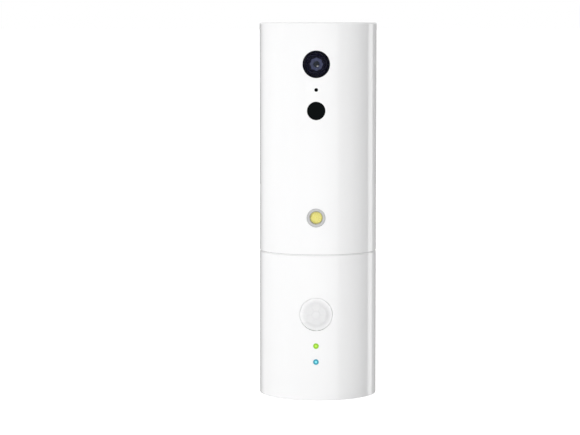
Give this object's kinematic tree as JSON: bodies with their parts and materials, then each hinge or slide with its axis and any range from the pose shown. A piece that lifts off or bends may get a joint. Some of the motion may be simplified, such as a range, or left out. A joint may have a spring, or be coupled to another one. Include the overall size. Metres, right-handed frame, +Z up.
{
  "type": "portable security camera",
  "caption": "Upright cylindrical security camera: a lens and torch light in a turning head, on a base with a motion sensor, status lights, battery and tripod thread.",
  "frame": {"origin": "centre of the face it stands on, on the cylinder's axis", "axes": "+Z up along the cylinder, -Y the way the lens looks at rest, +X to the right seen from the front"},
  "size_m": [0.037, 0.0387, 0.118],
  "materials": {
    "white_shell": "glossy white moulded plastic",
    "white_inner": "satin white moulded plastic",
    "black_inner": "matt black moulded plastic",
    "screw_steel": "zinc-plated steel",
    "spring_steel": "bright spring steel",
    "board_green": "green solder mask",
    "aluminium_plain": "plain aluminium",
    "tin_plate": "tin-plated sheet",
    "antenna_ceramic": "pale ceramic",
    "plug_white": "off-white connector plastic",
    "window_glass": "dark tinted window, polished",
    "camera_black": "blue-black plastic",
    "lens_glass": "coated lens glass with a violet-blue bloom",
    "filter_glass": "blue filter glass",
    "chip_black": "moulded chip package",
    "foam_black": "fine black foam",
    "rubber_black": "soft black rubber",
    "dark_window": "black polished plastic",
    "clear_plastic": "clear polished plastic",
    "ring_grey": "satin light grey plastic",
    "phosphor_yellow": "matt yellow phosphor",
    "speaker_black": "black paper cone and frame",
    "mesh_grey": "fine grey cloth",
    "bearing_white": "natural acetal",
    "foot_rubber": "soft grey rubber",
    "insert_brass": "turned brass",
    "battery_wrap": "shrink wrap",
    "wire_jacket": "taped wire bundle",
    "dome_white": "translucent milky plastic",
    "led_white": "white chip package",
    "green_light": "green light pipe",
    "blue_light": "blue light pipe"
  },
  "bodies": {
    "base": {"base_shell": "white_shell", "swivel_bushing": "bearing_white", "swivel_washer": "bearing_white", "base_plate": "white_inner", "foot_ring": "foot_rubber", "tripod_insert": "insert_brass", "base_screws": "screw_steel", "base_tray": "black_inner", "battery": "battery_wrap", "battery_clamp": "black_inner", "sensor_board": "board_green", "port_board": "board_green", "wire_harness": "wire_jacket", "pir_lens": "dome_white", "pir_ring": "black_inner", "pir_sensor": "tin_plate", "status_leds": "led_white", "light_pipe_green": "green_light", "light_pipe_blue": "blue_light", "usb_socket": "tin_plate", "card_socket": "tin_plate", "reset_switch": "chip_black", "power_switch": "chip_black", "port_panel": "black_inner", "door_pin": "spring_steel"},
    "head": {"head_shell": "white_shell", "turret_plate": "white_inner", "turret_screws": "screw_steel", "swivel_clip": "spring_steel", "head_frame": "black_inner", "main_board": "board_green", "board_screws": "screw_steel", "processor_shield": "tin_plate", "wifi_antenna": "antenna_ceramic", "harness_plug": "plug_white", "lens_window": "window_glass", "lens_bezel": "camera_black", "lens_gasket": "foam_black", "lens_barrel": "camera_black", "front_lens": "lens_glass", "lens_holder": "camera_black", "ir_filter": "filter_glass", "image_sensor": "chip_black", "camera_board": "board_green", "microphone": "chip_black", "microphone_boot": "rubber_black", "light_window": "dark_window", "light_guide": "clear_plastic", "light_sensor": "chip_black", "flash_ring": "ring_grey", "flash_lens": "clear_plastic", "flash_led": "phosphor_yellow", "flash_board": "aluminium_plain", "flash_heat_sink": "aluminium_plain", "speaker": "speaker_black", "speaker_gasket": "foam_black", "speaker_mesh": "mesh_grey"},
    "power_button": {"power_button": "white_shell"},
    "reset_button": {"reset_button": "black_inner"},
    "port_door": {"port_door": "white_shell"}
  },
  "joints": [
    {"name": "head_turn", "type": "hinge", "parent": "base", "child": "head", "pos_m": [0, 0, 0.0458], "axis": [0, 0, 1], "range_deg": [-160, 160]},
    {"name": "power_press", "type": "slide", "parent": "base", "child": "power_button", "axis": [0, -1, 0], "range_m": [0, 0.00045], "stiffness_N_per_m": 800, "springref_m": -0.001},
    {"name": "reset_press", "type": "slide", "parent": "base", "child": "reset_button", "axis": [0, -1, 0], "range_m": [0, 0.0003], "stiffness_N_per_m": 500, "springref_m": -0.001},
    {"name": "port_door_swing", "type": "hinge", "parent": "base", "child": "port_door", "pos_m": [0.00647, 0.01602, 0.0192], "axis": [0, 0, -1], "range_deg": [0, 95]}
  ]
}
